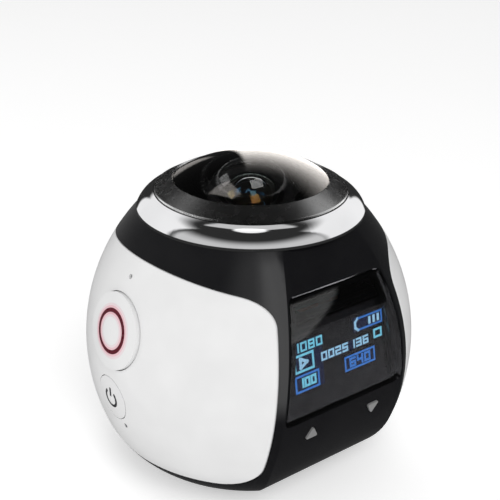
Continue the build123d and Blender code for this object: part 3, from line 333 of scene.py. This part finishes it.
def metal(name, dark, light, rough, grain, bump=0.0):
    mat, nodes, links, shader = new_material(name)
    vector = object_coords(nodes, links)
    shader.inputs["Metallic"].default_value = 1.0
    mottle = noise(nodes, links, vector, grain * 0.2)
    links.new(tone(nodes, links, mottle, dark, light), shader.inputs["Base Color"])
    links.new(spread(nodes, links, noise(nodes, links, vector, grain, 4.0), rough[0], rough[1]),
              shader.inputs["Roughness"])
    if bump:
        relief = nodes.new("ShaderNodeBump")
        relief.inputs["Strength"].default_value = bump
        relief.inputs["Distance"].default_value = 0.00002
        links.new(noise(nodes, links, vector, grain * 2, 3.0), relief.inputs["Height"])
        links.new(relief.outputs["Normal"], shader.inputs["Normal"])
    return mat


def glass(name, dark, light, rough=(0.0, 0.01), film=0.0):
    """Clear or tinted glass; a film, in nanometres, colours its reflections."""
    mat, nodes, links, shader = new_material(name)
    vector = object_coords(nodes, links)
    links.new(tone(nodes, links, noise(nodes, links, vector, 60.0), dark, light), shader.inputs["Base Color"])
    links.new(spread(nodes, links, noise(nodes, links, vector, 400.0, 4.0), rough[0], rough[1]),
              shader.inputs["Roughness"])
    shader.inputs["Transmission Weight"].default_value = 1.0
    shader.inputs["IOR"].default_value = 1.5
    shader.inputs["Thin Film Thickness"].default_value = film
    shader.inputs["Thin Film IOR"].default_value = 1.33
    return mat


def glowing(name, colour, strength):
    """Lit surface with the fine unevenness of a display or a light pipe."""
    mat, nodes, links, shader = new_material(name)
    vector = object_coords(nodes, links)
    shade = tuple(c * 0.75 for c in colour)
    glow = tone(nodes, links, noise(nodes, links, vector, 3000.0, 1.0), shade, colour)
    shader.inputs["Base Color"].default_value = (0.0, 0.0, 0.0, 1)
    shader.inputs["Roughness"].default_value = 0.4
    links.new(glow, shader.inputs["Emission Color"])
    shader.inputs["Emission Strength"].default_value = strength
    return mat


BLACK = moulded("gloss_black", (0.004, 0.004, 0.005), (0.007, 0.007, 0.008), (0.07, 0.12), 900.0, 0.03)
WHITE = moulded("gloss_white", (0.80, 0.80, 0.80), (0.84, 0.84, 0.84), (0.28, 0.36), 900.0, 0.04)
BEZEL = moulded("bezel_black", (0.006, 0.006, 0.006), (0.010, 0.010, 0.010), (0.22, 0.30), 1500.0, 0.10)
MATT = moulded("matt_black", (0.010, 0.010, 0.010), (0.018, 0.018, 0.018), (0.6, 0.75), 2500.0, 0.3)
GREY = moulded("chassis_grey", (0.09, 0.09, 0.09), (0.12, 0.12, 0.12), (0.5, 0.6), 2500.0, 0.3)
INNER_BLACK = moulded("inner_black", (0.008, 0.008, 0.009), (0.012, 0.012, 0.013), (0.5, 0.65), 2500.0, 0.2)
RUBBER = moulded("foot_rubber", (0.015, 0.015, 0.015), (0.025, 0.025, 0.025), (0.7, 0.85), 2500.0, 0.4)
KEY = moulded("key_grey", (0.22, 0.22, 0.22), (0.28, 0.28, 0.28), (0.3, 0.4), 1500.0, 0.1)
RING = moulded("ring_red", (0.085, 0.006, 0.014), (0.12, 0.009, 0.020), (0.25, 0.35), 1500.0, 0.1)
BOARD = moulded("board_green", (0.006, 0.035, 0.018), (0.012, 0.06, 0.03), (0.3, 0.45), 1200.0, 0.3)
FLEX = moulded("flex_amber", (0.35, 0.12, 0.02), (0.45, 0.17, 0.03), (0.35, 0.45), 1200.0, 0.1)
WRAP = moulded("battery_blue", (0.02, 0.05, 0.16), (0.03, 0.07, 0.2), (0.3, 0.4), 800.0, 0.2)
CHROME = metal("polished_chrome", (0.78, 0.78, 0.79), (0.86, 0.86, 0.87), (0.03, 0.06), 500.0)
STEEL = metal("nickel_steel", (0.55, 0.55, 0.56), (0.66, 0.66, 0.67), (0.22, 0.32), 900.0, 0.1)
DARK_STEEL = metal("dark_steel", (0.10, 0.10, 0.11), (0.16, 0.16, 0.17), (0.3, 0.4), 900.0, 0.1)
BRASS = metal("turned_brass", (0.62, 0.46, 0.2), (0.75, 0.57, 0.27), (0.18, 0.28), 900.0, 0.1)
LENS = glass("lens_glass", (0.95, 0.96, 0.96), (0.98, 0.98, 0.98))
LENS_INNER = glass("inner_glass", (0.90, 0.93, 0.95), (0.95, 0.97, 0.98), film=260.0)
WINDOW = glass("smoked_glass", (0.34, 0.34, 0.36), (0.40, 0.40, 0.42), rough=(0.0, 0.02))
FILTER = glass("filter_glass", (0.3, 0.6, 0.6), (0.35, 0.7, 0.7))
SENSOR = moulded("sensor_die", (0.02, 0.03, 0.08), (0.05, 0.06, 0.12), (0.1, 0.2), 3000.0, 0.1)
PIPE = glowing("light_pipe", (0.35, 0.36, 0.38), 0.3)

FINISHES = {
    "centre_housing": BLACK, "left_cover": WHITE, "right_cover": WHITE, "base_plate": MATT,
    "foot_ring": RUBBER, "tripod_nut": BRASS, "base_screws": DARK_STEEL, "inner_frame": INNER_BLACK,
    "battery": WRAP, "main_board": BOARD, "board_screws": DARK_STEEL, "processor_shield": STEEL,
    "standoffs": BRASS, "sensor_board": BOARD, "image_sensor": SENSOR, "ir_filter": FILTER,
    "lens_mount": INNER_BLACK, "sensor_flex": FLEX, "front_lens": LENS, "second_lens": LENS_INNER,
    "rear_lens_group": LENS_INNER, "lens_barrel": MATT, "lens_seal": RUBBER, "lens_bezel": BEZEL,
    "chrome_ring": CHROME, "display_window": WINDOW, "display_module": INNER_BLACK,
    "display_bracket": INNER_BLACK, "display_flex": FLEX, "up_key": KEY, "down_key": KEY,
    "key_board": BOARD, "key_switches": STEEL, "shutter_button": WHITE, "shutter_ring": RING,
    "power_button": WHITE, "side_board": BOARD, "side_switches": STEEL, "status_led": PIPE,
    "microphone": STEEL, "speaker": MATT, "wifi_antenna": FLEX, "port_door": BLACK,
    "door_pin": DARK_STEEL, "usb_socket": STEEL, "hdmi_socket": STEEL, "card_socket": STEEL,
}
for node_name, finish in FINISHES.items():
    mesh = NODES[node_name].data
    mesh.materials.clear()
    mesh.materials.append(finish)


# Mesh helpers

def mesh_piece(name, verts, faces, material, body, smooth=True):
    mesh = bpy.data.meshes.new(name)
    mesh.from_pydata([Vector(v) * MM for v in verts], [], faces)
    mesh.validate()
    for poly in mesh.polygons:
        poly.use_smooth = smooth
    piece = bpy.data.objects.new(name, mesh)
    bpy.context.scene.collection.objects.link(piece)
    mesh.materials.append(material)
    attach(piece, body)
    return piece


# Floor

def make_floor():
    mesh = bpy.data.meshes.new("floor")
    size = 3.0
    corners = [(-size, -size, 0), (size, -size, 0), (size, size, 0), (-size, size, 0)]
    mesh.from_pydata(corners, [], [(0, 1, 2, 3)])
    floor = bpy.data.objects.new("floor", mesh)
    bpy.context.scene.collection.objects.link(floor)
    mat, nodes, links, shader = new_material("pale_floor")
    vector = object_coords(nodes, links)
    links.new(tone(nodes, links, noise(nodes, links, vector, 3.0), (0.86, 0.86, 0.86), (0.88, 0.88, 0.88)),
              shader.inputs["Base Color"])
    shader.inputs["Roughness"].default_value = 0.6
    shader.inputs["Specular IOR Level"].default_value = 0.2
    shader.inputs["Emission Color"].default_value = (1, 1, 1, 1)
    shader.inputs["Emission Strength"].default_value = 0.42
    mesh.materials.append(mat)
    floor.visible_glossy = False
    floor.visible_diffuse = False
    floor.visible_shadow = False


make_floor()


# Display picture: plain numbers, boxes and a battery sign on the lit display

DISPLAY_GLASS = 0.9
CYAN = glowing("display_cyan", (0.22, 0.72, 0.92), 2.2)
PALE = glowing("display_pale", (0.40, 0.74, 0.98), 2.2)
BLUE = glowing("display_blue", (0.06, 0.28, 0.85), 1.8)
HAZE = glowing("display_haze", (0.003, 0.009, 0.050), 1.6)
PANEL = moulded("display_panel", (0.003, 0.003, 0.004), (0.005, 0.005, 0.006), (0.15, 0.22), 900.0, 0.0)


def display_point(x, up, out=DISPLAY_GLASS + 0.03):
    """Point over the display's face, in millimetres, x to the right and up along its lean."""
    s, c = math.sin(DISPLAY_LEAN), math.cos(DISPLAY_LEAN)
    return (x, -DISPLAY_REACH + up * s - out * c, CENTRE + up * c + out * s)


def strokes(name, lines, width, material):
    """Flat bars of one width along straight lines on the display."""
    verts, faces = [], []
    for (x0, y0), (x1, y1) in lines:
        along = Vector((x1 - x0, y1 - y0)).normalized() * width / 2
        side = Vector((-along.y, along.x))
        start, end = Vector((x0, y0)) - along, Vector((x1, y1)) + along
        first = len(verts)
        for corner in (start - side, end - side, end + side, start + side):
            verts.append(display_point(corner.x, corner.y))
        faces.append((first, first + 1, first + 2, first + 3))
    return mesh_piece(name, verts, faces, material, "camera_body", smooth=False)


SEGMENTS = {
    "a": ((0, 2), (1, 2)), "b": ((1, 1), (1, 2)), "c": ((1, 0), (1, 1)), "d": ((0, 0), (1, 0)),
    "e": ((0, 0), (0, 1)), "f": ((0, 1), (0, 2)), "g": ((0, 1), (1, 1)),
}
DIGITS = {
    "0": "abcdef", "1": "bc", "2": "abged", "3": "abgcd", "4": "fgbc", "5": "afgcd", "6": "afgedc",
    "7": "abc", "8": "abcdefg", "9": "abcdfg",
}


def number_lines(text, left, low, right, high):
    """Strokes of a number set into a box."""
    pitch = (right - left) / len(text)
    wide, tall = pitch * 0.62, (high - low) / 2
    lines = []
    for i, digit in enumerate(text):
        x = left + pitch * i + pitch * 0.19
        for segment in DIGITS[digit]:
            (ax, ay), (bx, by) = SEGMENTS[segment]
            lines.append(((x + ax * wide, low + ay * tall), (x + bx * wide, low + by * tall)))
    return lines


def box_lines(left, low, right, high):
    return [((left, low), (right, low)), ((right, low), (right, high)), ((right, high), (left, high)),
            ((left, high), (left, low))]


def plate(name, left, low, right, high, back, front, material):
    """Flat plate that stands on the display's face, between two distances out from it."""
    corners = ((left, low), (right, low), (right, high), (left, high))
    verts = [display_point(x, y, out) for out in (back, front) for x, y in corners]
    faces = [(3, 2, 1, 0), (4, 5, 6, 7), (0, 1, 5, 4), (1, 2, 6, 5), (2, 3, 7, 6), (3, 0, 4, 7)]
    return mesh_piece(name, verts, faces, material, "camera_body", smooth=False)


BORDER = moulded("display_border", (0.035, 0.036, 0.038), (0.05, 0.051, 0.054), (0.3, 0.4), 900.0, 0.0)


def make_display():
    plate("display_panel_glass", -12.3, -1.7, 12.3, 13.1, 0.0, DISPLAY_GLASS, PANEL)
    plate("display_border_right", 10.95, -1.7, 12.3, 13.1, DISPLAY_GLASS, DISPLAY_GLASS + 0.02, BORDER)
    for name, left, low, right, high in (
        ("left", -9.9, 2.0, -3.6, 10.6), ("middle", -4.0, 5.8, 6.9, 7.5),
        ("right", 3.5, 8.5, 10.3, 11.1), ("low", 1.0, 2.3, 8.1, 5.0),
    ):
        plate("display_haze_" + name, left, low, right, high, DISPLAY_GLASS, DISPLAY_GLASS + 0.01, HAZE)
    strokes("display_number_top", number_lines("1080", -10.0, 9.0, -3.3, 10.3), 0.34, CYAN)
    strokes("display_box_left", box_lines(-9.6, 5.6, -5.7, 8.3), 0.42, CYAN)
    strokes("display_box_left_sign", [((-8.4, 6.2), (-8.4, 7.7)), ((-8.4, 7.7), (-7.0, 6.95)),
                                      ((-7.0, 6.95), (-8.4, 6.2))], 0.55, PALE)
    strokes("display_box_low", box_lines(-9.7, 2.2, -4.8, 4.8), 0.36, BLUE)
    strokes("display_number_low", number_lines("100", -9.3, 2.9, -5.3, 4.2), 0.42, CYAN)
    strokes("display_number_middle", number_lines("0025136", -4.1, 6.1, 6.9, 7.3), 0.34, PALE)
    strokes("display_square", box_lines(8.2, 6.4, 9.8, 7.7), 0.40, CYAN)
    strokes("display_battery", [((4.6, 8.8), (10.1, 8.8)), ((4.6, 10.8), (10.1, 10.8)),
                                ((10.1, 8.8), (10.1, 10.8))], 0.32, BLUE)
    strokes("display_battery_end", [((4.6, 8.8), (4.0, 9.3)), ((4.0, 9.3), (4.0, 10.3)),
                                    ((4.0, 10.3), (4.6, 10.8))], 0.46, PALE)
    strokes("display_battery_cells", [((7.3, 9.4), (7.3, 10.2)), ((8.3, 9.4), (8.3, 10.2)),
                                      ((9.3, 9.4), (9.3, 10.2))], 0.55, PALE)
    strokes("display_box_right", box_lines(1.2, 2.5, 7.9, 4.8), 0.34, BLUE)
    strokes("display_number_right", number_lines("640", 2.0, 3.0, 7.1, 4.3), 0.42, BLUE)


make_display()


# Sign on the power button

def button_frame(rise):
    """Point on the left side at a rise, with its outward, forward and upward directions."""
    slope = math.asin(rise / SIDE_R)
    radius = BODY_R - SIDE_R + math.sqrt(SIDE_R ** 2 - rise ** 2)
    outward = Vector((-math.cos(slope), 0, math.sin(slope)))
    upward = Vector((math.sin(slope), 0, math.cos(slope)))
    return Vector((-radius, 0, CENTRE + rise)), outward, Vector((0, -1, 0)), upward


def dome_point(rise, stand, crown, x, y, out):
    """Point over a domed side button, x forwards and y upwards from its axis."""
    base, outward, forward, upward = button_frame(rise)
    height = stand - crown + math.sqrt(crown ** 2 - x * x - y * y) + out
    return base + forward * x + upward * y + outward * height


def arc_band(rise, stand, crown, radius, width, start, end, steps, out):
    verts, faces = [], []
    for i in range(steps + 1):
        angle = math.radians(start + (end - start) * i / steps)
        for r in (radius - width / 2, radius + width / 2):
            verts.append(dome_point(rise, stand, crown, r * math.cos(angle), r * math.sin(angle), out))
        if i:
            k = 2 * i
            faces.append((k - 2, k - 1, k + 1, k))
    return verts, faces


SIGN = moulded("sign_print", (0.035, 0.035, 0.038), (0.05, 0.05, 0.055), (0.4, 0.5), 1500.0, 0.0)


def make_power_sign():
    button = (POWER_RISE, POWER_STAND, POWER_CROWN)
    verts, faces = arc_band(*button, 1.55, 0.52, 130, 410, 40, 0.015)
    mesh_piece("power_sign_ring", verts, faces, SIGN, "power_button")
    bar = ((-0.26, 0.35), (0.26, 0.35), (0.26, 2.05), (-0.26, 2.05))
    verts = [dome_point(*button, x, y, 0.016) for x, y in bar]
    mesh_piece("power_sign_bar", verts, [(0, 1, 2, 3)], SIGN, "power_button")


make_power_sign()


# Pink light that the shutter ring throws on its button

HALO = moulded("ring_halo", (0.80, 0.50, 0.54), (0.86, 0.58, 0.62), (0.28, 0.36), 900.0, 0.04)
FAINT_HALO = moulded("ring_faint_halo", (0.80, 0.68, 0.70), (0.84, 0.74, 0.76), (0.28, 0.36), 900.0, 0.04)


def make_ring_halo():
    for name, radius, width, material in (
        ("inner", 3.0, 0.38, HALO), ("outer", 4.1, 0.38, HALO),
        ("inner_faint", 2.6, 0.42, FAINT_HALO), ("outer_faint", 4.5, 0.42, FAINT_HALO),
    ):
        verts, faces = arc_band(SHUTTER_RISE, SHUTTER_STAND, SHUTTER_CROWN, radius, width, 0, 360, 64, 0.012)
        mesh_piece("shutter_halo_" + name, verts, faces, material, "shutter_button")


make_ring_halo()
